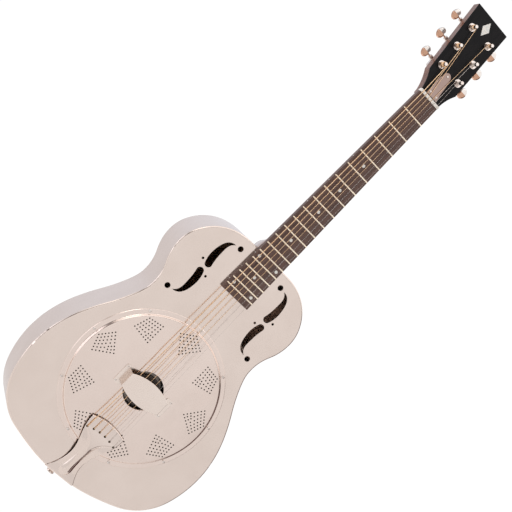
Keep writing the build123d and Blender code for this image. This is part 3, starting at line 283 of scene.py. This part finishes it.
NICKEL_LIGHT, NICKEL_DEEP = (0.775, 0.675, 0.615), (0.745, 0.645, 0.585)
body_plating = plated("body_plating", NICKEL_LIGHT, NICKEL_DEEP, 0.15, edge=0.8)
cover_plating = plated("cover_plating", (0.80, 0.69, 0.63), (0.77, 0.66, 0.60), 0.14, 0.04, 0.1, cover_dome)
rest_plating = plated("rest_plating", (0.82, 0.725, 0.66), (0.80, 0.70, 0.635), 0.2, 0.04)
tail_plating = plated("tail_plating", (0.74, 0.645, 0.59), (0.71, 0.615, 0.56), 0.06, 0.02)
# the heel cover is the body's nickel, made darker: painted shade
shaded_heel_plating = plated("shaded_heel_plating", (0.60, 0.51, 0.475), (0.56, 0.475, 0.44), 0.15)
tuner_plating = plated("tuner_plating", (0.82, 0.77, 0.73), (0.74, 0.66, 0.61), 0.09, 0.02, 0.2)
button_plating = button_metal()
screw_plating = plated("screw_plating", (0.80, 0.75, 0.71), (0.66, 0.59, 0.55), 0.14, 0.02, 0.15)
fret_metal = plated("fret_metal", (0.98, 0.87, 0.70), (0.96, 0.84, 0.67), 0.3, 0.0, 0.1)
rod_cover_metal = plated("rod_cover_metal", (0.36, 0.27, 0.24), (0.28, 0.20, 0.175), 0.10, 0.03, 0.4)
rod_steel = plated("rod_steel", (0.42, 0.41, 0.40), (0.30, 0.29, 0.28), 0.35, 0.0, 0.2)
dull_steel = spun_metal("dull_steel", (0.26, 0.23, 0.21), (0.18, 0.16, 0.145), 0.42)
# the cone is darker than bare spun aluminium: painted shade for its place inside the body
shaded_cone_metal = spun_metal("shaded_cone_metal", (0.27, 0.235, 0.21), (0.19, 0.165, 0.145), 0.38)
rosewood = wood(
    "rosewood", (0.070, 0.034, 0.026), (0.138, 0.074, 0.056), (0.026, 0.012, 0.009), (7, 7, 0.45), 0.42, 0.15
)
mahogany = wood(
    "mahogany", (0.105, 0.040, 0.026), (0.225, 0.098, 0.062), (0.04, 0.015, 0.01), (5, 5, 0.35), 0.36, 0.55
)
inner_maple = wood(
    "inner_maple", (0.42, 0.27, 0.15), (0.60, 0.42, 0.26), (0.30, 0.18, 0.09), (5, 5, 0.4), 0.5, 0.0, 0.7
)
dark_maple = wood(
    "dark_maple", (0.022, 0.014, 0.010), (0.05, 0.033, 0.024), (0.01, 0.006, 0.004), (4, 4, 0.6), 0.5, 0.1
)
face_lacquer = gloss_black()
shell = pearl()
nut_bone = bone()
bronze_wire = wire("bronze_wire", (1.0, 0.73, 0.47), (0.93, 0.60, 0.34), 0.42, 0.34)
plain_wire = wire("plain_wire", (0.74, 0.70, 0.66), (0.58, 0.53, 0.49), 0, 0.26)
# the ball ends' brass is darkened: painted shade for the string holes they sit in
shaded_ball_brass = wire("shaded_ball_brass", (0.12, 0.085, 0.045), (0.07, 0.05, 0.03), 0, 0.5)

numbers = range(1, 7)
LOOKS = {
    body_plating: ["body_top", "body_back", "body_sides"],
    shaded_heel_plating: ["heel_cover"],
    cover_plating: ["coverplate"],
    rest_plating: ["handrest"],
    tail_plating: ["tailpiece", "strap_button"],
    dull_steel: ["soundwell", "neck_bolts"],
    shaded_cone_metal: ["resonator_cone"],
    dark_maple: ["biscuit", "saddle"],
    inner_maple: ["neck_stick", "back_props"],
    mahogany: ["neck"],
    rosewood: ["fretboard"],
    face_lacquer: ["headstock_face"],
    rod_cover_metal: ["truss_rod_cover"],
    shell: ["headstock_inlay", "fret_dots", "side_dots"],
    nut_bone: ["nut"],
    fret_metal: ["frets"],
    tuner_plating: ["tuner_housings", "tuner_bushings", "tuner_washers"]
    + [f"tuner_post_{n}" for n in numbers],
    button_plating: [f"tuner_button_{n}" for n in numbers],
    screw_plating: [
        "biscuit_screw",
        "coverplate_screws",
        "handrest_screws",
        "strap_button_screw",
        "truss_cover_screws",
        "tuner_screws",
    ],
    rod_steel: ["truss_rod", "truss_rod_nut"],
    plain_wire: ["string_1", "string_2", "string_winding_1", "string_winding_2"],
    bronze_wire: [f"string_{n}" for n in (3, 4, 5, 6)] + [f"string_winding_{n}" for n in (3, 4, 5, 6)],
    shaded_ball_brass: ["ball_ends"],
}


def smooth(obj, angle):
    """Smooth shading that keeps edges sharper than the angle."""
    for face in obj.data.polygons:
        face.use_smooth = True
    obj.data.set_sharp_from_angle(angle=radians(angle))


SEAM_ANGLE = 28


def smooth_joined(obj):
    """Hides the seams between CAD faces: modifiers take the place of stored normals and sharp edges."""
    if "custom_normal" in obj.data.attributes:
        obj.data.attributes.remove(obj.data.attributes["custom_normal"])
    if "sharp_edge" in obj.data.attributes:
        obj.data.attributes.remove(obj.data.attributes["sharp_edge"])
    for face in obj.data.polygons:
        face.use_smooth = True
    weld = obj.modifiers.new("weld", "WELD")
    weld.merge_threshold = 2e-6
    split = obj.modifiers.new("split", "EDGE_SPLIT")
    split.split_angle = radians(SEAM_ANGLE)
    split.use_edge_sharp = False
    weigh = obj.modifiers.new("weigh", "WEIGHTED_NORMAL")
    weigh.mode = "FACE_AREA"
    weigh.keep_sharp = True


for look, names in LOOKS.items():
    for name in names:
        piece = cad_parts[name]
        piece.data.materials.clear()
        piece.data.materials.append(look)
        smooth_joined(piece)


# ---------------------------------------------------------------- visual pieces
def smoothstep(value, low, high):
    """0 below low, 1 above high, and a smooth step between."""
    t = min(max((value - low) / (high - low), 0.0), 1.0)
    return t * t * (3 - 2 * t)


def along(stops, value):
    """A smooth curve through a list of (place, amount) stops, places rising."""
    if value <= stops[0][0]:
        return stops[0][1]
    if value >= stops[-1][0]:
        return stops[-1][1]
    slopes = []
    for i in range(len(stops)):
        before, after = stops[max(i - 1, 0)], stops[min(i + 1, len(stops) - 1)]
        slopes.append((after[1] - before[1]) / (after[0] - before[0]))
    for i in range(len(stops) - 1):
        (start, low), (end, high) = stops[i], stops[i + 1]
        if value <= end:
            gap = end - start
            t = (value - start) / gap
            return (
                low * (1 + 2 * t) * (1 - t) ** 2
                + high * t * t * (3 - 2 * t)
                + slopes[i] * gap * t * (1 - t) ** 2
                - slopes[i + 1] * gap * t * t * (1 - t)
            )


def put(name, mesh, material, angle):
    """A finished visual piece riding on the guitar's body."""
    obj = bpy.data.objects.new(name, mesh)
    bpy.context.scene.collection.objects.link(obj)
    obj.data.materials.append(material)
    smooth(obj, angle)
    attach(obj, BODY)
    return obj


# The tailpiece is a pressed plate with a raised rib that widens into the fan of string holes.
# Places along it are measured down from the cone's axis to the tail, in millimetres.
# EDGE and RIB give half widths of the plate and of its rib.
EDGE = [(73, 34.2), (86, 33.9), (97, 32.2), (108, 28.8), (121, 23.3), (134, 18.4), (146, 16.2)]
EDGE += [(156, 16.2), (168, 18.6), (180, 24.0), (187, 28.0), (190, 29.0), (192, 29.0)]
RIB = [(94, 36), (99, 30), (104, 23), (109, 17), (115, 12.4), (123, 8.9), (134, 7.6), (150, 7.5)]
RIB += [(163, 8.4), (172, 9.6), (180, 10)]
RIB_HEIGHT = [(96, 0.0), (108, 2.2), (122, 4.2), (140, 4.9), (165, 4.7), (180, 4.2)]
RIB_END = 177
RIB_END_R = 9.6
SHOULDER = 7.4  # width of the rib's rounded shoulder
TAIL_FRONT_Y = -4.5
TAIL_DROP = 10.2  # how much deeper the plate lies at the tail than at the nose
TAIL_DEPTH = 1.1
NOSE_DOWN = 73.15
NOSE_SAG = 6.0
NOSE_HALF_WIDTH = 34.0
NOSE_WIDEST = 34.2
NOSE_R = 2.6
SKIRT_STEPS = (2.4, 1.6, 0.8)
ROLLED_EDGE = 1.3
ROLLED_EDGE_DROP = 0.9
FOLD_R = 3.2
TAIL_SHEET_Z = 192.1  # outer face of the flap, down from the cone's axis
FLAP_END_Y = 58.8
COLUMNS = 128
STEPS = 170
FLAP_STEPS = 12
STRING_HOLES = 6
HOLE_HALF_SPREAD = 28.8
HOLE_ROW = 93.5  # the middle of the row of string holes
HOLE_ROW_SAG = 4.8
HOLE_R = 2.0
SCREW_HOLE_R = 2.3
SCREW_Y = 47
DRILL_LENGTH = 12
PLATE_ANGLE = 60  # edges of the plate that turn more than this stay sharp, in degrees


def tail_nose(x):
    """Where the plate's nose edge is, down from the cone's axis."""
    return NOSE_DOWN + NOSE_SAG * (x / NOSE_HALF_WIDTH) ** 2


def tail_front(x, down):
    """Depth of the plate's front face."""
    flange = TAIL_FRONT_Y + TAIL_DROP * smoothstep(down, 96, 190)
    inside = along(RIB, down) - abs(x)
    if down > RIB_END:
        inside = RIB_END_R - sqrt(x * x + (down - RIB_END) ** 2)
    share = min(max(inside / SHOULDER, 0.0), 1.0)
    rounded = flange - along(RIB_HEIGHT, down) * sin(share * pi / 2)
    side = max(0.0, 1 - (along(EDGE, down) - abs(x)) / ROLLED_EDGE)
    return rounded + ROLLED_EDGE_DROP * (1 - sqrt(max(0.0, 1 - side * side)))


def tail_rows():
    """Rows of (x, y, down) points over the plate, from its nose to the end of its flap."""
    plate_rows = []
    for i in range(STEPS + 1):
        row = []
        for k in range(COLUMNS + 1):
            across = 2 * k / COLUMNS - 1
            nose = tail_nose(across * NOSE_WIDEST) + NOSE_R
            down = nose + (TAIL_SHEET_Z - FOLD_R - nose) * i / STEPS
            x = across * along(EDGE, down)
            row.append((x, tail_front(x, down), down))
        plate_rows.append(row)
    # the nose rolls over into a turned-down skirt
    roll = []
    for turn in (90, 75, 60, 45, 30, 15):
        back, out = NOSE_R * (1 - cos(radians(turn))), NOSE_R * sin(radians(turn))
        roll.append([(x, y + back, down - out) for x, y, down in plate_rows[0]])
    skirt = [[(x, y + deep, down) for x, y, down in roll[0]] for deep in SKIRT_STEPS]
    # the tail folds back into the flap
    fold = []
    for turn in (15, 30, 45, 60, 75, 90):
        back, out = FOLD_R * (1 - cos(radians(turn))), FOLD_R * sin(radians(turn))
        fold.append([(x, y + back, down + out) for x, y, down in plate_rows[-1]])
    flap = []
    for k in range(1, FLAP_STEPS + 1):
        share = k / FLAP_STEPS
        flap.append([(x, y + (FLAP_END_Y - y) * share, down) for x, y, down in fold[-1]])
    return skirt + roll + plate_rows + fold + flap


def tail_sheet():
    """The plate as a surface with no thickness."""
    rows = tail_rows()
    points = [(x * MM, y * MM, CONE_Z - down * MM) for row in rows for x, y, down in row]
    width = COLUMNS + 1
    corners = [i * width + k for i in range(len(rows) - 1) for k in range(COLUMNS)]
    mesh = bpy.data.meshes.new("tailpiece_plate")
    mesh.from_pydata(points, [], [(a, a + width, a + width + 1, a + 1) for a in corners])
    mesh.update()
    return mesh


def tail_hole(index):
    """Place of a string hole: across the plate, and down from the cone's axis."""
    x = HOLE_HALF_SPREAD - index * 2 * HOLE_HALF_SPREAD / (STRING_HOLES - 1)
    return x, HOLE_ROW + HOLE_ROW_SAG * (x / HOLE_HALF_SPREAD) ** 2


def hole_cutter():
    """Rods for the string holes, and one for the strap button's screw through the flap."""
    drill = bmesh.new()

    def rod(sides, radius, matrix):
        bmesh.ops.create_cone(
            drill,
            cap_ends=True,
            segments=sides,
            radius1=radius * MM,
            radius2=radius * MM,
            depth=DRILL_LENGTH * MM,
            matrix=matrix,
        )

    for index in range(STRING_HOLES):
        x, down = tail_hole(index)
        place = Matrix.Translation((x * MM, -4 * MM, CONE_Z - down * MM))
        rod(24, HOLE_R, place @ Matrix.Rotation(pi / 2, 4, "X"))
    rod(32, SCREW_HOLE_R, Matrix.Translation((0, SCREW_Y * MM, CONE_Z - TAIL_SHEET_Z * MM)))
    mesh = bpy.data.meshes.new("hole_cutter")
    drill.to_mesh(mesh)
    drill.free()
    cutter = bpy.data.objects.new("hole_cutter", mesh)
    bpy.context.scene.collection.objects.link(cutter)
    return cutter


plate = put("tailpiece_plate", tail_sheet(), tail_plating, PLATE_ANGLE)
sheet = plate.modifiers.new("sheet", "SOLIDIFY")
sheet.thickness = TAIL_DEPTH * MM
sheet.offset = -1.0
cutter = hole_cutter()
holes = plate.modifiers.new("holes", "BOOLEAN")
holes.operation = "DIFFERENCE"
holes.solver = "EXACT"
holes.object = cutter
bpy.context.view_layer.update()
shaped = bpy.data.meshes.new_from_object(
    plate.evaluated_get(bpy.context.evaluated_depsgraph_get())
)
plate.modifiers.clear()
plate.data = shaped
smooth(plate, PLATE_ANGLE)
bpy.data.objects.remove(cutter)
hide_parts("tailpiece")


# ---------------------------------------------------------------- floor, light and camera
FLOOR_Z = -2.2  # well below the guitar, so that it doesn't fill the plating's reflections
FLOOR_RADIUS = 3.2
FLOOR_SIDES = 96
BEHIND = (0.37, 0.93, 0.0)  # away from the camera


def pale_paper():
    """The floor's paper, which glows a little, and more in a wedge that points away from the camera."""
    paper = Surface("pale_paper")
    mottle = paper.noise(3.0, detail=3.0)
    level = paper.add("ShaderNodeVectorMath", {"operation": "MULTIPLY"})
    paper.feed(level.inputs[0], paper.place)
    level.inputs[1].default_value = (1.0, 1.0, 0.0)
    outward = paper.add("ShaderNodeVectorMath", {"operation": "NORMALIZE"})
    paper.feed(outward.inputs[0], level.outputs["Vector"])
    behind = paper.add("ShaderNodeVectorMath", {"operation": "DOT_PRODUCT"})
    paper.feed(behind.inputs[0], outward.outputs["Vector"])
    behind.inputs[1].default_value = BEHIND
    return paper.finish(
        Base_Color=paper.mix(mottle, rgb(0.70, 0.69, 0.68), rgb(0.66, 0.65, 0.64)),
        Roughness=0.9,
        Emission_Color=rgb(1.0, 1.0, 1.0),
        Emission_Strength=paper.between(behind.outputs["Value"], 0.955, 0.985, 0.2, 0.8),
    )


floor_mesh = bpy.data.meshes.new("floor")
turns = [2 * pi * k / FLOOR_SIDES for k in range(FLOOR_SIDES)]
ring = [(FLOOR_RADIUS * cos(turn), FLOOR_RADIUS * sin(turn), FLOOR_Z) for turn in turns]
floor_mesh.from_pydata(ring, [], [range(FLOOR_SIDES)])
floor_mesh.materials.append(pale_paper())
floor = bpy.data.objects.new("floor", floor_mesh)
bpy.context.scene.collection.objects.link(floor)

world = bpy.data.worlds.new("studio")
bpy.context.scene.world = world
world.use_nodes = True
tree = world.node_tree
background = tree.nodes["Background"]
direction = tree.nodes.new("ShaderNodeTexCoord").outputs["Generated"]
parts = tree.nodes.new("ShaderNodeSeparateXYZ")
tree.links.new(direction, parts.inputs["Vector"])


def feed(socket, value):
    """Gives one of the world's sockets a link or a plain value."""
    if isinstance(value, bpy.types.NodeSocket):
        tree.links.new(value, socket)
    else:
        socket.default_value = value


def world_range(value, low, high):
    """0 at low, 1 at high, and a smooth step between."""
    node = tree.nodes.new("ShaderNodeMapRange")
    node.interpolation_type = "SMOOTHSTEP"
    feed(node.inputs["Value"], value)
    feed(node.inputs["From Min"], low)
    feed(node.inputs["From Max"], high)
    return node.outputs["Result"]


def world_mix(factor, first, second):
    """Blends two tones by a share."""
    node = tree.nodes.new("ShaderNodeMix")
    node.data_type = "RGBA"
    for index, value in ((0, factor), (6, first), (7, second)):
        feed(node.inputs[index], value)
    return node.outputs[2]


def both(first, second):
    """The share where two shares meet."""
    node = tree.nodes.new("ShaderNodeMath")
    node.operation = "MULTIPLY"
    feed(node.inputs[0], first)
    feed(node.inputs[1], second)
    return node.outputs[0]


def towards_direction(aim, low, high):
    """A soft round patch of the world about one direction."""
    node = tree.nodes.new("ShaderNodeVectorMath")
    node.operation = "DOT_PRODUCT"
    feed(node.inputs[0], direction)
    node.inputs[1].default_value = aim
    return world_range(node.outputs["Value"], low, high)


# The world's tones go by direction, placed for what the plating reflects towards the camera: a
# cool wall behind, a neutral room in front, and dark and bright bands that outline the edges.
x, y, z = parts.outputs["X"], parts.outputs["Y"], parts.outputs["Z"]
back_tone = world_mix(world_range(z, -0.5, 0.4), rgb(0.76, 0.73, 0.735), rgb(0.84, 0.85, 0.91))
front_tone = world_mix(world_range(z, -0.6, 0.5), rgb(0.87, 0.845, 0.84), rgb(1.02, 1.005, 1.0))
front_tone = world_mix(
    towards_direction((-0.2, -0.95, 0.22), 0.90, 0.985), front_tone, rgb(1.28, 1.25, 1.23)
)
front_tone = world_mix(world_range(x, 0.47, 0.78), front_tone, rgb(0.30, 0.25, 0.235))
front_tone = world_mix(world_range(x, 0.72, 0.84), front_tone, rgb(0.10, 0.035, 0.03))
bass_shade = both(world_range(x, -0.36, -0.52), world_range(z, -0.22, -0.12))
front_tone = world_mix(bass_shade, front_tone, rgb(0.09, 0.06, 0.05))
side_tone = world_mix(world_range(z, -0.5, 0.4), rgb(0.58, 0.555, 0.55), rgb(0.78, 0.77, 0.78))
room = world_mix(world_range(y, 0.0, -0.14), side_tone, front_tone)
room = world_mix(world_range(y, 0.35, 0.75), room, back_tone)
beam = both(world_range(z, 0.20, 0.28), world_range(y, 0.1, -0.1))
room = world_mix(beam, room, rgb(0.10, 0.075, 0.07))
ceiling = both(world_range(z, 0.36, 0.46), world_range(y, 0.7, 0.3))
room = world_mix(ceiling, room, rgb(1.30, 1.26, 1.24))
window = both(world_range(x, -0.84, -0.92), world_range(z, 0.35, 0.15))
room = world_mix(window, room, rgb(1.75, 1.72, 1.8))
# the camera itself sees a plain white backdrop
seen = tree.nodes.new("ShaderNodeLightPath").outputs["Is Camera Ray"]
room = world_mix(seen, room, rgb(1.04, 1.04, 1.04))
tree.links.new(room, background.inputs["Color"])
background.inputs["Strength"].default_value = 1.0


def softbox(name, place, aim, width, height, power, tint):
    """A rectangular area light at a place, turned to an aim."""
    light = bpy.data.lights.new(name, "AREA")
    light.shape = "RECTANGLE"
    light.size = width
    light.size_y = height
    light.energy = power
    light.color = tint
    obj = bpy.data.objects.new(name, light)
    bpy.context.scene.collection.objects.link(obj)
    obj.location = place
    obj.rotation_euler = (Vector(aim) - Vector(place)).to_track_quat("-Z", "Y").to_euler()


softbox("key", (-2.6, -1.2, 1.9), (0, 0, -0.4), 1.2, 1.2, 7, (1.0, 0.98, 0.96))
softbox("top", (0.6, 0.2, 2.4), (0, 0, -0.3), 1.4, 1.0, 4, (0.97, 0.98, 1.0))

AZIMUTH, ELEVATION, ROLL = radians(-21.638), radians(-0.124), radians(44.387)
TARGET = Vector((-0.024123, 0, -0.368583))
DISTANCE = 1.825
SENSOR = 36
VIEW_WIDTH = 0.80884676  # width of the view at the target, in metres
towards = Vector(
    (sin(AZIMUTH) * cos(ELEVATION), -cos(AZIMUTH) * cos(ELEVATION), sin(ELEVATION))
)
level_right = Vector((0, 0, 1)).cross(towards).normalized()
level_up = towards.cross(level_right)
right = level_right * cos(ROLL) + level_up * sin(ROLL)
up = level_up * cos(ROLL) - level_right * sin(ROLL)
camera_data = bpy.data.cameras.new("camera")
camera_data.sensor_width = SENSOR
camera_data.lens = SENSOR * DISTANCE / VIEW_WIDTH
camera = bpy.data.objects.new("camera", camera_data)
bpy.context.scene.collection.objects.link(camera)
camera.matrix_world = Matrix(
    (
        (right.x, up.x, towards.x, TARGET.x + towards.x * DISTANCE),
        (right.y, up.y, towards.y, TARGET.y + towards.y * DISTANCE),
        (right.z, up.z, towards.z, TARGET.z + towards.z * DISTANCE),
        (0, 0, 0, 1),
    )
)
bpy.context.scene.camera = camera
bpy.context.scene.view_settings.view_transform = "Standard"
